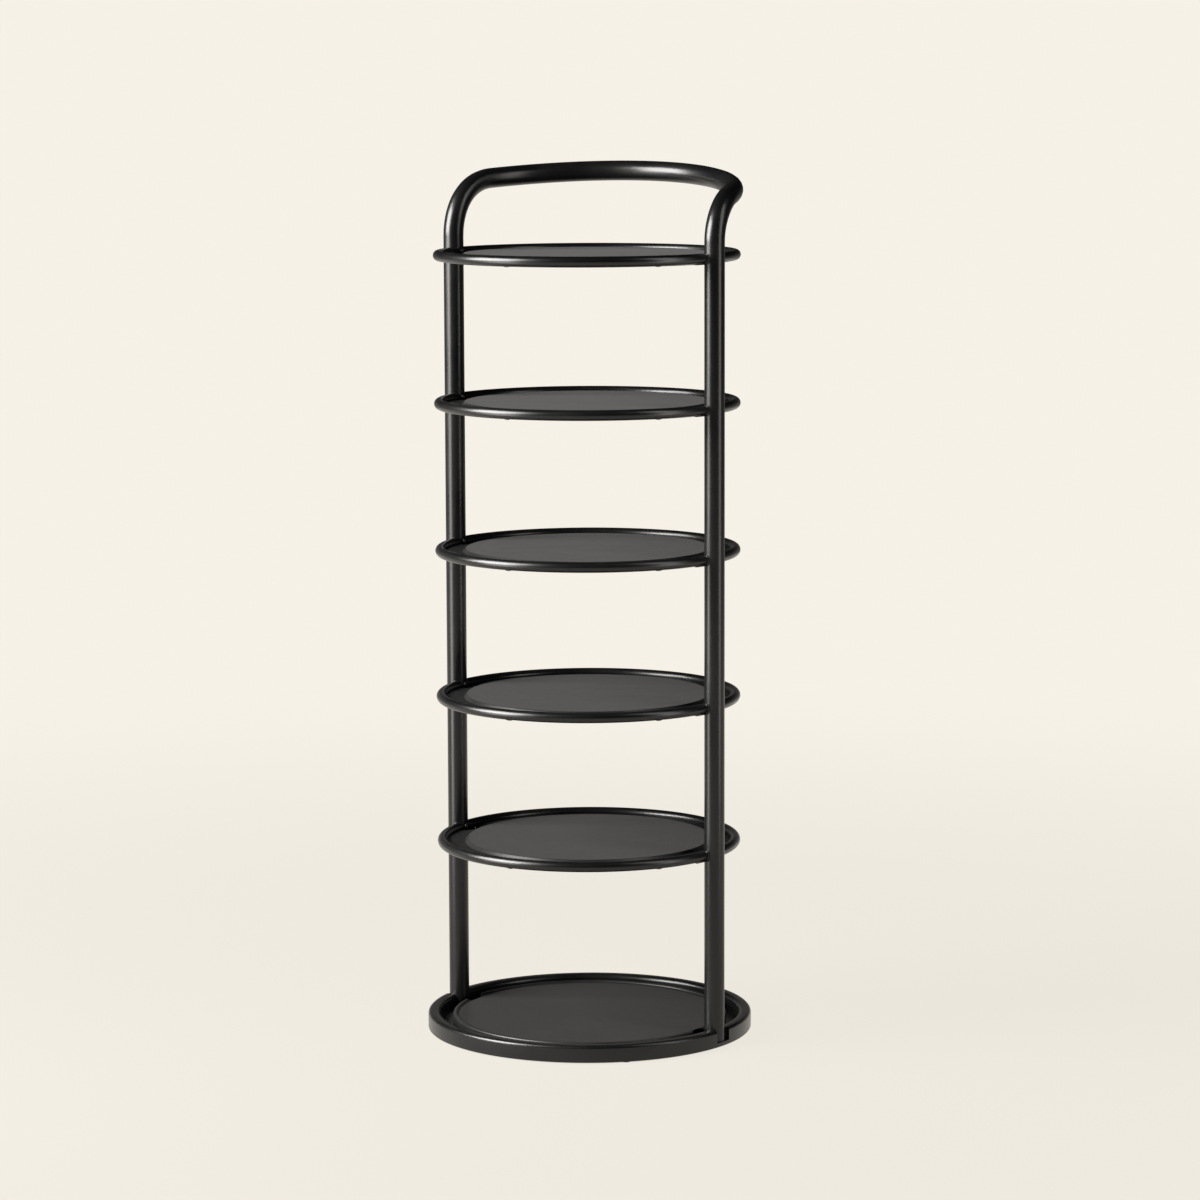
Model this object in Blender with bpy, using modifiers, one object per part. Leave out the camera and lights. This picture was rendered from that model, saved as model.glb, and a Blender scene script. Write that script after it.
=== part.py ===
"""Round shoe rack: one bent tube frame that carries five hooped shelves over a round base.

Metres, +Z up. The origin is on the floor under the middle of the base. The two uprights stand
at the left and right, a little towards the front (-Y), and the handle runs round the back (+Y).
"""
import math

import bmesh
import bpy
from mathutils import Matrix, Vector

# Fits
CLEARANCE = 0.0003
OVERRUN = 0.005
MERGE_DISTANCE = 0.00001

# Facets
HOOP_FACETS = 40
HOOP_BAR_FACETS = 8
TUBE_BEVEL_RESOLUTION = 5
BEND_STEPS = 6
HANDLE_STEPS = 20
SMALL_FACETS = 10
HOLE_FACETS = 16
NOTCH_FACETS = 24
HEX_FACETS = 6
FILLET_STEPS = 3
SHEET_FILLET_STEPS = 1
CROWN_STEPS = 2
SMOOTH_ANGLE = math.radians(35)

# Base
BASE_MARGIN = 0.0010
RIM_WIDTH = 0.0135
RIM_HEIGHT = 0.0185
RIM_OUTER_FILLET = 0.0035
RIM_INNER_FILLET = 0.0045
RIM_FOOT_FILLET = 0.0012
LEDGE_UNDERSIDE = 0.0032
LEDGE_THICKNESS = 0.0016
LEDGE_WIDTH = 0.0270

# Disc that lies on the ledge of the base
BASE_GROOVE = 0.0140
BASE_SHEET = 0.0015
BASE_DISC_RISE = 0.0087
BEAD_WIDTH = 0.0042
BEAD_RISE = 0.0016
BEAD_CROWN_SHARE = 0.5
BEAD_VALLEY_WIDTH = 0.0040
BEAD_VALLEY_DEPTH = 0.0008

# Glides under the base
GLIDE_WALL = 0.00165
GLIDE_HEIGHT = 0.0030
GLIDE_PROUD = 0.0010
GLIDE_EDGE = 0.0006
GLIDE_COUNT = 4
GLIDE_FIRST_ANGLE = math.radians(45)

# Frame tube
TUBE_RADIUS = 0.0110
TUBE_WALL = 0.0015
UPRIGHT_ANGLE = math.radians(3.72)
BEND_ABOVE_SHELF = 0.0167
LEFT_BEND_RADIUS = 0.0625
RIGHT_BEND_RADIUS = 0.0482
HANDLE_SHIFT = 0.0165
HANDLE_RISE = 0.0137

# Hoops
HOOP_OUTER_RADIUS = 0.1660
HOOP_BAR_RADIUS = 0.0055
SHELF_COUNT = 5
LOWEST_SHELF = 0.2095
SHELF_PITCH = 0.1600

# Pressed plates inside the hoops
PLATE_SHEET = 0.0012
PLATE_DROP = 0.0012
PLATE_LIP_SHARE = 0.45
FLANGE_WIDTH = 0.0190
PANEL_RISE = 0.0036
PANEL_SLOPE = 0.0030
NOTCH_GAP = 0.0130

# Wells in the plates round the uprights
WELL_DROP = 0.0040
WELL_RELIEF = 0.0007
WELL_REACH_SHARE = 0.7
WELL_EDGE_DROP = 0.0004

# Screws that hold the hoops to the uprights
SCREW_RADIUS = 0.0025
SCREW_FAR_WALL = 0.0008
SCREW_HEAD_RADIUS = 0.00475
SCREW_HEAD_HEIGHT = 0.0026
SCREW_HEAD_CROWN = 0.0022
SCREW_SOCKET_RADIUS = 0.0017
SCREW_SOCKET_DEPTH = 0.0013
SCREW_HOLE_TIP = 0.0003

# Threaded inserts in the feet of the uprights, and their bolts
INSERT_HEIGHT = 0.0160
INSERT_CHAMFER = 0.0010
BOLT_RADIUS = 0.0030
BOLT_BITE = 0.0104
BOLT_HEAD_RADIUS = 0.0060
BOLT_HEAD_HEIGHT = 0.0024
BOLT_HEAD_CROWN = 0.0016
BOLT_HEAD_ROOM = 0.0006
BOLT_SOCKET_RADIUS = 0.0022
BOLT_SOCKET_DEPTH = 0.0012

# Levels and radii that follow from the sizes above
HOOP_RADIUS = HOOP_OUTER_RADIUS - HOOP_BAR_RADIUS
HOOP_INNER_RADIUS = HOOP_RADIUS - HOOP_BAR_RADIUS
UPRIGHT_RADIUS = HOOP_INNER_RADIUS + TUBE_RADIUS
BASE_RADIUS = UPRIGHT_RADIUS + TUBE_RADIUS + BASE_MARGIN
RIM_BOTTOM = GLIDE_PROUD
RIM_TOP = RIM_BOTTOM + RIM_HEIGHT
RIM_INNER_RADIUS = BASE_RADIUS - RIM_WIDTH
LEDGE_BOTTOM = RIM_BOTTOM + LEDGE_UNDERSIDE
LEDGE_TOP = LEDGE_BOTTOM + LEDGE_THICKNESS
LEDGE_INNER_RADIUS = RIM_INNER_RADIUS - LEDGE_WIDTH
BEAD_OUTER_RADIUS = RIM_INNER_RADIUS - BASE_GROOVE
FOOT_LEVEL = LEDGE_TOP + CLEARANCE
BORE_RADIUS = TUBE_RADIUS - TUBE_WALL
NOTCH_RADIUS = TUBE_RADIUS + NOTCH_GAP
PANEL_RADIUS = HOOP_INNER_RADIUS - FLANGE_WIDTH
GLIDE_CIRCLE = BASE_RADIUS - RIM_WIDTH / 2
GLIDE_RADIUS = RIM_WIDTH / 2 - GLIDE_WALL - CLEARANCE
SHELF_LEVELS = [LOWEST_SHELF + step * SHELF_PITCH for step in range(SHELF_COUNT)]
BEND_START = SHELF_LEVELS[-1] + BEND_ABOVE_SHELF
SIDES = {"left": math.pi + UPRIGHT_ANGLE, "right": -UPRIGHT_ANGLE}

COATED = ("coated_black", (0.012, 0.012, 0.013), 0.38, 0.0)
PLATE_COAT = ("coated_black_plate", (0.020, 0.020, 0.021), 0.50, 0.0)
ZINC = ("blackened_screw", (0.010, 0.010, 0.011), 0.45, 1.0)
NYLON = ("black_nylon", (0.015, 0.015, 0.016), 0.60, 0.0)
RUBBER = ("black_rubber", (0.020, 0.020, 0.020), 0.85, 0.0)


def clear_scene():
    for item in list(bpy.data.objects):
        bpy.data.objects.remove(item, do_unlink=True)


def new_collection(name):
    collection = bpy.data.collections.new(name)
    bpy.context.scene.collection.children.link(collection)
    return collection


def finish_material(finish):
    name, colour, roughness, metallic = finish
    found = bpy.data.materials.get(name)
    if found:
        return found
    made = bpy.data.materials.new(name)
    made.use_nodes = True
    shader = made.node_tree.nodes["Principled BSDF"]
    shader.inputs["Base Color"].default_value = (*colour, 1.0)
    shader.inputs["Roughness"].default_value = roughness
    shader.inputs["Metallic"].default_value = metallic
    return made


def add_object(name, mesh, collection):
    item = bpy.data.objects.new(name, mesh)
    collection.objects.link(item)
    return item


def as_piece(item, finish):
    item.data.materials.append(finish_material(finish))
    item.data.shade_smooth()
    item.data.set_sharp_from_angle(angle=SMOOTH_ANGLE)
    return item


def as_cutter(item):
    item.hide_render = True
    item.display_type = "WIRE"
    return item


def polar(radius, angle, level=0.0):
    return Vector((radius * math.cos(angle), radius * math.sin(angle), level))


def arc(centre_x, centre_z, radius, start, end, steps=FILLET_STEPS):
    """Points of a round in the XZ plane, from one angle to another."""
    turns = [start + (end - start) * step / steps for step in range(steps + 1)]
    return [(centre_x + radius * math.cos(turn), centre_z + radius * math.sin(turn)) for turn in turns]


def turned(name, profile, collection, facets, closed=False):
    """Turns a profile of (radius, level) points, outer side downwards, round +Z."""
    mesh = bpy.data.meshes.new(name)
    form = bmesh.new()
    corners = [form.verts.new((radius, 0.0, level)) for radius, level in profile]
    for first, second in zip(corners, corners[1:]):
        form.edges.new((first, second))
    if closed:
        form.edges.new((corners[-1], corners[0]))
    form.to_mesh(mesh)
    form.free()
    item = add_object(name, mesh, collection)
    screw = item.modifiers.new("turn", "SCREW")
    screw.axis = "Z"
    screw.angle = math.tau
    screw.steps = facets
    screw.render_steps = facets
    screw.use_merge_vertices = True
    screw.merge_threshold = MERGE_DISTANCE
    return item


def cylinder(name, radius, low, high, collection, facets):
    """An upright cylinder from one level to another on the Z axis."""
    mesh = bpy.data.meshes.new(name)
    form = bmesh.new()
    bmesh.ops.create_cone(form, cap_ends=True, segments=facets, radius1=radius, radius2=radius,
                          depth=high - low)
    bmesh.ops.translate(form, verts=form.verts, vec=(0.0, 0.0, (low + high) / 2))
    form.to_mesh(mesh)
    form.free()
    return add_object(name, mesh, collection)


def hoop_bar(name, radius, bar_radius, collection):
    """A round bar bent to a full circle round +Z."""
    bpy.ops.mesh.primitive_torus_add(
        major_segments=HOOP_FACETS, minor_segments=HOOP_BAR_FACETS,
        major_radius=radius, minor_radius=bar_radius)
    item = bpy.context.object
    item.name = name
    for owner in list(item.users_collection):
        owner.objects.unlink(item)
    collection.objects.link(item)
    return item


def cut(target, cutter, operation="DIFFERENCE"):
    boolean = target.modifiers.new(operation.lower() + " " + cutter.name, "BOOLEAN")
    boolean.operation = operation
    boolean.solver = "EXACT"
    boolean.object = cutter


def join(target, addition):
    """Adds a closed solid to another. The added one is hidden, as a cutter is."""
    cut(target, as_cutter(addition), "UNION")


def bar_along(name, points, radius, collection):
    """A closed round bar along a path, made from a curve and given as a mesh."""
    line = bpy.data.curves.new(name, "CURVE")
    line.dimensions = "3D"
    line.bevel_depth = radius
    line.bevel_resolution = TUBE_BEVEL_RESOLUTION
    line.use_fill_caps = True
    spline = line.splines.new("POLY")
    spline.points.add(len(points) - 1)
    for point, place in zip(spline.points, points):
        point.co = (*place, 1.0)
    drawn = add_object(name + "_path", line, collection)
    evaluated = drawn.evaluated_get(bpy.context.evaluated_depsgraph_get())
    mesh = bpy.data.meshes.new_from_object(evaluated)
    form = bmesh.new()
    form.from_mesh(mesh)
    bmesh.ops.remove_doubles(form, verts=form.verts, dist=MERGE_DISTANCE)
    form.to_mesh(mesh)
    form.free()
    item = add_object(name, mesh, collection)
    item.matrix_world = drawn.matrix_world
    bpy.data.objects.remove(drawn, do_unlink=True)
    return item


def bend_rise(radius, slope):
    """One bend as (along, height) points, from an upright to the handle, which goes on at a slope."""
    turned_by = math.pi / 2 - math.atan(slope)
    turns = [turned_by * step / BEND_STEPS for step in range(BEND_STEPS + 1)]
    return [(radius * (1 - math.cos(turn)), BEND_START + radius * math.sin(turn)) for turn in turns]


def frame_path(foot):
    """Middle line of the frame tube: up the left side, round the back and down the right side."""
    middle = Vector((0.0, -HANDLE_SHIFT, 0.0))
    right = polar(UPRIGHT_RADIUS, SIDES["right"]) - middle
    arc_radius = right.length
    length = arc_radius * (math.pi - 2 * math.atan2(right.y, right.x))
    handle_length = length - LEFT_BEND_RADIUS - RIGHT_BEND_RADIUS
    fall = (LEFT_BEND_RADIUS - RIGHT_BEND_RADIUS) / handle_length
    arch = math.pi * HANDLE_RISE / handle_length
    left_bend = bend_rise(LEFT_BEND_RADIUS, arch - fall)
    right_bend = [(length - along, height) for along, height in bend_rise(RIGHT_BEND_RADIUS, arch + fall)]
    start, end = Vector(left_bend[-1]), Vector(right_bend[-1])
    handle = []
    for step in range(1, HANDLE_STEPS):
        share = step / HANDLE_STEPS
        handle.append(start.lerp(end, share) + Vector((0.0, HANDLE_RISE * math.sin(math.pi * share))))
    line = [(0.0, foot), *left_bend, *handle, *reversed(right_bend), (length, foot)]
    first = math.pi - math.atan2(right.y, right.x)
    return [middle + polar(arc_radius, first - along / arc_radius, height) for along, height in line]


def radial_matrix(angle, radius, level):
    """Turns +Z of a small turned piece to point outwards at an angle, with its zero at a radius."""
    place = Matrix.Translation(polar(radius, angle, level))
    aim = Matrix.Rotation(angle, 4, "Z") @ Matrix.Rotation(math.pi / 2, 4, "Y")
    return place @ aim


def headed_profile(radius, length, head_radius, head_height, crown, bite=0.0):
    """Half outline of a button-headed screw: head under zero, shank above it."""
    rounding = [
        (head_radius - crown * (1 - math.cos(turn)), -head_height + crown * (1 - math.sin(turn)))
        for turn in (math.pi / 2 * step / CROWN_STEPS for step in range(CROWN_STEPS + 1))
    ]
    shank = [(0.0, length), (radius - bite, length), (radius, length - bite), (radius, 0.0)]
    return [*shank, (head_radius, 0.0), *rounding, (0.0, -head_height)]


def make_frame_tube(parts, cutters):
    tube = bar_along("frame_tube", frame_path(FOOT_LEVEL), TUBE_RADIUS, parts)
    bore = as_cutter(bar_along("frame_bore", frame_path(FOOT_LEVEL - OVERRUN), BORE_RADIUS, cutters))
    cut(tube, bore)
    for number, level in enumerate(SHELF_LEVELS, 1):
        saddle = as_cutter(hoop_bar(f"saddle_{number}", HOOP_RADIUS, HOOP_BAR_RADIUS + CLEARANCE, cutters))
        saddle.location.z = level
        cut(tube, saddle)
    return as_piece(tube, COATED)


def make_shelf_hoop(number, level, parts):
    hoop = hoop_bar(f"shelf_hoop_{number}", HOOP_RADIUS, HOOP_BAR_RADIUS, parts)
    hoop.location.z = level
    return as_piece(hoop, COATED)


def beside_hoop(gap, turn):
    """Corner of a line that keeps a gap to the hoop's bar: inwards at 0 and below at 90 degrees."""
    reach = HOOP_BAR_RADIUS + gap / math.cos(math.pi / HOOP_BAR_FACETS)
    return Vector((HOOP_RADIUS - reach * math.cos(turn), -reach * math.sin(turn)))


def bar_corners(gap):
    return [beside_hoop(gap, math.tau / HOOP_BAR_FACETS * corner) for corner in range(3)]


def plate_edge(gap, level):
    """Outline of a plate's edge, from a level down along the hoop's bar to a lip under it."""
    inner, below, bottom = bar_corners(gap)
    start = inner.lerp(below, level / below.y)
    return [tuple(start), tuple(below), tuple(below.lerp(bottom, PLATE_LIP_SHARE))]


def make_shelf_plate(number, level, parts):
    flange = -PLATE_DROP
    panel = flange + PANEL_RISE
    profile = [
        (0.0, panel),
        (PANEL_RADIUS - PANEL_SLOPE, panel),
        (PANEL_RADIUS, flange),
        *plate_edge(CLEARANCE, flange),
        *reversed(plate_edge(CLEARANCE + PLATE_SHEET, flange - PLATE_SHEET)),
        (PANEL_RADIUS, flange - PLATE_SHEET),
        (PANEL_RADIUS - PANEL_SLOPE, panel - PLATE_SHEET),
        (0.0, panel - PLATE_SHEET),
    ]
    plate = turned(f"shelf_plate_{number}", profile, parts, HOOP_FACETS)
    plate.location.z = level
    return as_piece(plate, PLATE_COAT)


def make_well_relief(cutters):
    """A ring that keeps the wells clear of a hoop's bar, with its zero at the bar's middle."""
    inner, below, bottom = bar_corners(WELL_RELIEF)
    end = below.lerp(bottom, WELL_REACH_SHARE)
    far = UPRIGHT_RADIUS + NOTCH_RADIUS + PLATE_SHEET + OVERRUN
    deep = -HOOP_RADIUS
    profile = [
        (far, OVERRUN),
        (far, deep),
        (end.x, deep),
        tuple(end),
        tuple(below),
        tuple(inner),
        (inner.x, OVERRUN),
    ]
    return as_cutter(turned("well_relief", profile, cutters, HOOP_FACETS, closed=True))


def sink_well(plate, side, relief, cutters):
    """Sinks a shallow well into a shelf plate, with a hole in its floor for one upright."""
    name = f"well_{side}_{plate.name}"
    centre = polar(UPRIGHT_RADIUS, SIDES[side]) + plate.location
    floor = -PLATE_DROP - WELL_DROP
    boss = cylinder(name, NOTCH_RADIUS + PLATE_SHEET, floor - PLATE_SHEET, -PLATE_DROP - WELL_EDGE_DROP,
                    cutters, NOTCH_FACETS)
    clear = relief.copy()
    clear.location = plate.location
    cutters.objects.link(clear)
    cut(boss, clear)
    join(plate, boss)
    pocket = cylinder(name + "_pocket", NOTCH_RADIUS, floor, OVERRUN, cutters, NOTCH_FACETS)
    hole = cylinder(name + "_hole", TUBE_RADIUS + CLEARANCE, floor - OVERRUN, OVERRUN, cutters, NOTCH_FACETS)
    for item in (boss, pocket, hole):
        item.location = centre
    for item in (pocket, hole):
        cut(plate, as_cutter(item))


def make_base_rim(parts):
    outer_top = arc(BASE_RADIUS - RIM_OUTER_FILLET, RIM_TOP - RIM_OUTER_FILLET, RIM_OUTER_FILLET,
                    math.pi / 2, 0.0)
    outer_foot = arc(BASE_RADIUS - RIM_FOOT_FILLET, RIM_BOTTOM + RIM_FOOT_FILLET, RIM_FOOT_FILLET,
                     0.0, -math.pi / 2, SHEET_FILLET_STEPS)
    inner_top = arc(RIM_INNER_RADIUS + RIM_INNER_FILLET, RIM_TOP - RIM_INNER_FILLET, RIM_INNER_FILLET,
                    math.pi, math.pi / 2)
    profile = [
        *outer_top,
        *outer_foot,
        (RIM_INNER_RADIUS, RIM_BOTTOM),
        (RIM_INNER_RADIUS, LEDGE_BOTTOM),
        (LEDGE_INNER_RADIUS, LEDGE_BOTTOM),
        (LEDGE_INNER_RADIUS, LEDGE_TOP),
        (RIM_INNER_RADIUS, LEDGE_TOP),
        *inner_top,
    ]
    return as_piece(turned("base_rim", profile, parts, HOOP_FACETS, closed=True), COATED)


def make_rim_seat(side, cutters):
    """A slot for the foot of an upright: round towards the middle of the base and open at the rim's face."""
    radius = TUBE_RADIUS + CLEARANCE
    reach = BASE_RADIUS - UPRIGHT_RADIUS + OVERRUN
    steps = NOTCH_FACETS // 2
    turns = [math.pi / 2 + math.pi * step / steps for step in range(steps + 1)]
    outline = [(radius * math.cos(turn), radius * math.sin(turn)) for turn in turns]
    outline += [(reach, -radius), (reach, radius)]
    mesh = bpy.data.meshes.new(f"rim_seat_{side}")
    form = bmesh.new()
    floor = form.faces.new([form.verts.new((x, y, LEDGE_TOP)) for x, y in outline])
    raised = bmesh.ops.extrude_face_region(form, geom=[floor])
    lifted = [item for item in raised["geom"] if isinstance(item, bmesh.types.BMVert)]
    bmesh.ops.translate(form, verts=lifted, vec=(0.0, 0.0, RIM_TOP + OVERRUN - LEDGE_TOP))
    bmesh.ops.recalc_face_normals(form, faces=form.faces)
    form.to_mesh(mesh)
    form.free()
    return as_cutter(add_object(f"rim_seat_{side}", mesh, cutters))


def make_base_plate(parts):
    floor = LEDGE_TOP + CLEARANCE
    disc = floor + BASE_DISC_RISE
    bead_middle = BEAD_OUTER_RADIUS - BEAD_WIDTH / 2
    crown = BEAD_CROWN_SHARE * BEAD_WIDTH / 2
    bead_inner = BEAD_OUTER_RADIUS - BEAD_WIDTH
    valley = bead_inner - BEAD_VALLEY_WIDTH
    skirt_inner = BEAD_OUTER_RADIUS - BASE_SHEET
    profile = [
        (0.0, disc),
        (valley, disc),
        (valley + BEAD_VALLEY_WIDTH / 2, disc - BEAD_VALLEY_DEPTH),
        (bead_inner, disc),
        (bead_middle - crown, disc + BEAD_RISE),
        (bead_middle + crown, disc + BEAD_RISE),
        (BEAD_OUTER_RADIUS, disc),
        (BEAD_OUTER_RADIUS, floor),
        (skirt_inner, floor),
        (skirt_inner, disc - BASE_SHEET),
        (valley + BEAD_VALLEY_WIDTH / 2, disc - BEAD_VALLEY_DEPTH - BASE_SHEET),
        (valley, disc - BASE_SHEET),
        (0.0, disc - BASE_SHEET),
    ]
    return as_piece(turned("base_plate", profile, parts, HOOP_FACETS), PLATE_COAT)


def make_hoop_screw(side, number, level, parts, cutters):
    angle = SIDES[side]
    head_seat = HOOP_INNER_RADIUS * math.cos(math.pi / HOOP_FACETS) - CLEARANCE
    length = UPRIGHT_RADIUS + TUBE_RADIUS - SCREW_FAR_WALL - SCREW_HOLE_TIP - head_seat
    profile = headed_profile(SCREW_RADIUS, length, SCREW_HEAD_RADIUS, SCREW_HEAD_HEIGHT, SCREW_HEAD_CROWN,
                             SCREW_HOLE_TIP)
    screw = turned(f"hoop_screw_{side}_{number}", profile, parts, SMALL_FACETS)
    socket = cylinder(f"socket_{side}_{number}", SCREW_SOCKET_RADIUS, -SCREW_HEAD_HEIGHT - OVERRUN,
                      -SCREW_HEAD_HEIGHT + SCREW_SOCKET_DEPTH, cutters, HEX_FACETS)
    hole = cylinder(f"screw_hole_{side}_{number}", SCREW_RADIUS + CLEARANCE, -OVERRUN,
                    length + SCREW_HOLE_TIP, cutters, SMALL_FACETS)
    for item in (screw, socket, hole):
        item.matrix_world = radial_matrix(angle, head_seat, level)
    cut(screw, as_cutter(socket))
    return as_piece(screw, ZINC), as_cutter(hole)


def make_foot(side, parts, cutters):
    """The insert in the foot of one upright and the bolt that draws it down on the ledge."""
    foot = polar(UPRIGHT_RADIUS, SIDES[side])
    insert_radius = BORE_RADIUS - CLEARANCE
    bolt_hole = BOLT_RADIUS + CLEARANCE
    insert_profile = [
        (insert_radius - INSERT_CHAMFER, INSERT_HEIGHT),
        (insert_radius, INSERT_HEIGHT - INSERT_CHAMFER),
        (insert_radius, 0.0),
        (bolt_hole, 0.0),
        (bolt_hole, INSERT_HEIGHT),
    ]
    insert = turned(f"foot_insert_{side}", insert_profile, parts, HOLE_FACETS, closed=True)
    insert.location = foot + Vector((0.0, 0.0, FOOT_LEVEL))
    head_level = LEDGE_BOTTOM - CLEARANCE
    length = FOOT_LEVEL - head_level + BOLT_BITE
    bolt_profile = headed_profile(BOLT_RADIUS, length, BOLT_HEAD_RADIUS, BOLT_HEAD_HEIGHT, BOLT_HEAD_CROWN)
    bolt = turned(f"foot_bolt_{side}", bolt_profile, parts, HOLE_FACETS)
    socket = cylinder(f"bolt_socket_{side}", BOLT_SOCKET_RADIUS, -BOLT_HEAD_HEIGHT - OVERRUN,
                      -BOLT_HEAD_HEIGHT + BOLT_SOCKET_DEPTH, cutters, HEX_FACETS)
    hole = cylinder(f"bolt_hole_{side}", bolt_hole, -OVERRUN, length, cutters, HOLE_FACETS)
    for item in (bolt, socket, hole):
        item.location = foot + Vector((0.0, 0.0, head_level))
    room = cylinder(f"bolt_room_{side}", BOLT_HEAD_RADIUS + BOLT_HEAD_ROOM, -OVERRUN, LEDGE_BOTTOM, cutters,
                    HOLE_FACETS)
    room.location = foot
    cut(bolt, as_cutter(socket))
    as_piece(insert, NYLON)
    as_piece(bolt, ZINC)
    return as_cutter(hole), as_cutter(room)


def make_glide(number, parts, cutters):
    angle = GLIDE_FIRST_ANGLE + math.tau * (number - 1) / GLIDE_COUNT
    profile = [
        (0.0, GLIDE_HEIGHT),
        (GLIDE_RADIUS, GLIDE_HEIGHT),
        (GLIDE_RADIUS, GLIDE_EDGE),
        (GLIDE_RADIUS - GLIDE_EDGE, 0.0),
        (0.0, 0.0),
    ]
    glide = turned(f"glide_{number}", profile, parts, HOLE_FACETS)
    glide.location = polar(GLIDE_CIRCLE, angle)
    pocket = cylinder(f"glide_pocket_{number}", GLIDE_RADIUS + CLEARANCE, -OVERRUN, GLIDE_HEIGHT + CLEARANCE,
                      cutters, HOLE_FACETS)
    pocket.location = polar(GLIDE_CIRCLE, angle)
    as_piece(glide, RUBBER)
    return as_cutter(pocket)


def main():
    clear_scene()
    parts = new_collection("round_shoe_rack")
    cutters = new_collection("cutters")

    tube = make_frame_tube(parts, cutters)
    rim = make_base_rim(parts)
    base_plate = make_base_plate(parts)
    hoops = [make_shelf_hoop(number, level, parts) for number, level in enumerate(SHELF_LEVELS, 1)]
    plates = [make_shelf_plate(number, level, parts) for number, level in enumerate(SHELF_LEVELS, 1)]
    relief = make_well_relief(cutters)

    for side, angle in SIDES.items():
        upright = polar(UPRIGHT_RADIUS, angle)
        notch = cylinder(f"notch_{side}", NOTCH_RADIUS, 0.0, RIM_TOP, cutters, NOTCH_FACETS)
        as_cutter(notch).location = upright
        cut(base_plate, notch)
        for plate in plates:
            sink_well(plate, side, relief, cutters)
        seat = make_rim_seat(side, cutters)
        seat.matrix_world = Matrix.Translation(upright) @ Matrix.Rotation(angle, 4, "Z")
        cut(rim, seat)
        for cutter in make_foot(side, parts, cutters):
            cut(rim, cutter)
        for number, (level, hoop) in enumerate(zip(SHELF_LEVELS, hoops), 1):
            screw, hole = make_hoop_screw(side, number, level, parts, cutters)
            cut(tube, hole)
            cut(hoop, hole)

    for number in range(1, GLIDE_COUNT + 1):
        cut(rim, make_glide(number, parts, cutters))


main()
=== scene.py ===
"""Looks for the round shoe rack: its coated tube, hoops, pressed plates and base, dressed round the frame.

Metres, +Z up. The origin is on the floor under the middle of the base. The handle runs round the back (+Y).
"""
import math

import bpy
from mathutils import Matrix, Vector


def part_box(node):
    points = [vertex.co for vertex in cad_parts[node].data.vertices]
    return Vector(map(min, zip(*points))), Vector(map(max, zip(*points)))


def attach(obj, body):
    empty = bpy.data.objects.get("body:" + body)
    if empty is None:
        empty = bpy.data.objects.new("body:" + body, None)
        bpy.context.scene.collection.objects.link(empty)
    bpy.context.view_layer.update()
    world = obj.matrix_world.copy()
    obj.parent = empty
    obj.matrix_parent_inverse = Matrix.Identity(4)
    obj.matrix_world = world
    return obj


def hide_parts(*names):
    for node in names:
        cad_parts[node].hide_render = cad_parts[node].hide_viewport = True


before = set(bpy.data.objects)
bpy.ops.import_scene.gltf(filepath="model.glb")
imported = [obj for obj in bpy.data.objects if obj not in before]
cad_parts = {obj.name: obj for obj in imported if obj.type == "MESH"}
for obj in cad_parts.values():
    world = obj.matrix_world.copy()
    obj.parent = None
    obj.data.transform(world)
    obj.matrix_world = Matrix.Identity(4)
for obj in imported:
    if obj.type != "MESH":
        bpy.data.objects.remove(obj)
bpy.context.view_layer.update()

SHELF_COUNT = 5
GLIDE_COUNT = 4
SIDES = ("left", "right")

# Fineness
TURN_STEPS = 144
BAR_SIDES = 24
HOOP_STEPS = 144
TUBE_RESOLUTION = 8
SMALL_STEPS = 36
CORNER_STEPS = 3
BEND_STEPS = 18
HANDLE_STEPS = 72
WELL_STEPS = TURN_STEPS // 2
RELIEF_STEPS = 8
WELD_STEPS = 40
WELD_RESOLUTION = 2
TACK_SEGMENTS = 16
TACK_RINGS = 10
CROWN_STEPS = 6
SOCKET_SIDES = 6
FLOOR_SIDES = 96
TENT_SEGMENTS = 72
TENT_RINGS = 36
MERGE = 0.000005
SMOOTH_ANGLE = math.radians(32)
OVERRUN = 0.004
EDGE_BREAK = 0.0003
EDGE_SEGMENTS = 2
EDGE_ANGLE = math.radians(50)

# Sizes that the frame gives
HOOP_LOW, HOOP_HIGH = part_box("shelf_hoop_1")
BAR_RADIUS = (HOOP_HIGH.z - HOOP_LOW.z) / 2
HOOP_RADIUS = HOOP_HIGH.x - BAR_RADIUS
HOOP_BOXES = [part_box(f"shelf_hoop_{number}") for number in range(1, SHELF_COUNT + 1)]
LEVELS = [(low.z + high.z) / 2 for low, high in HOOP_BOXES]
FRAME_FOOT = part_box("frame_tube")[0].z
RIM_LOW, RIM_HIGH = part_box("base_rim")
DISC_LOW, DISC_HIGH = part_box("base_plate")
BOLT_LOW, BOLT_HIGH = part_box("foot_bolt_right")
BOLT_AXIS = (BOLT_LOW + BOLT_HIGH) / 2
UPRIGHT_ANGLE = -math.atan2(BOLT_AXIS.y, BOLT_AXIS.x)
UPRIGHT_RADIUS = math.hypot(BOLT_AXIS.x, BOLT_AXIS.y)
TUBE_RADIUS = UPRIGHT_RADIUS - HOOP_RADIUS + BAR_RADIUS
ANGLES = {"left": math.pi + UPRIGHT_ANGLE, "right": -UPRIGHT_ANGLE}

# Frame tube
BEND_ABOVE_SHELF = 0.0167
LEFT_BEND_RADIUS = 0.0625
RIGHT_BEND_RADIUS = 0.0482
HANDLE_SHIFT = 0.0165
HANDLE_RISE = 0.0137
FOOT_EDGE = 0.0008

# Welds between the hoops and the uprights
WELD_RADIUS = 0.0009
WELD_SINK = 0.0003

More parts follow.
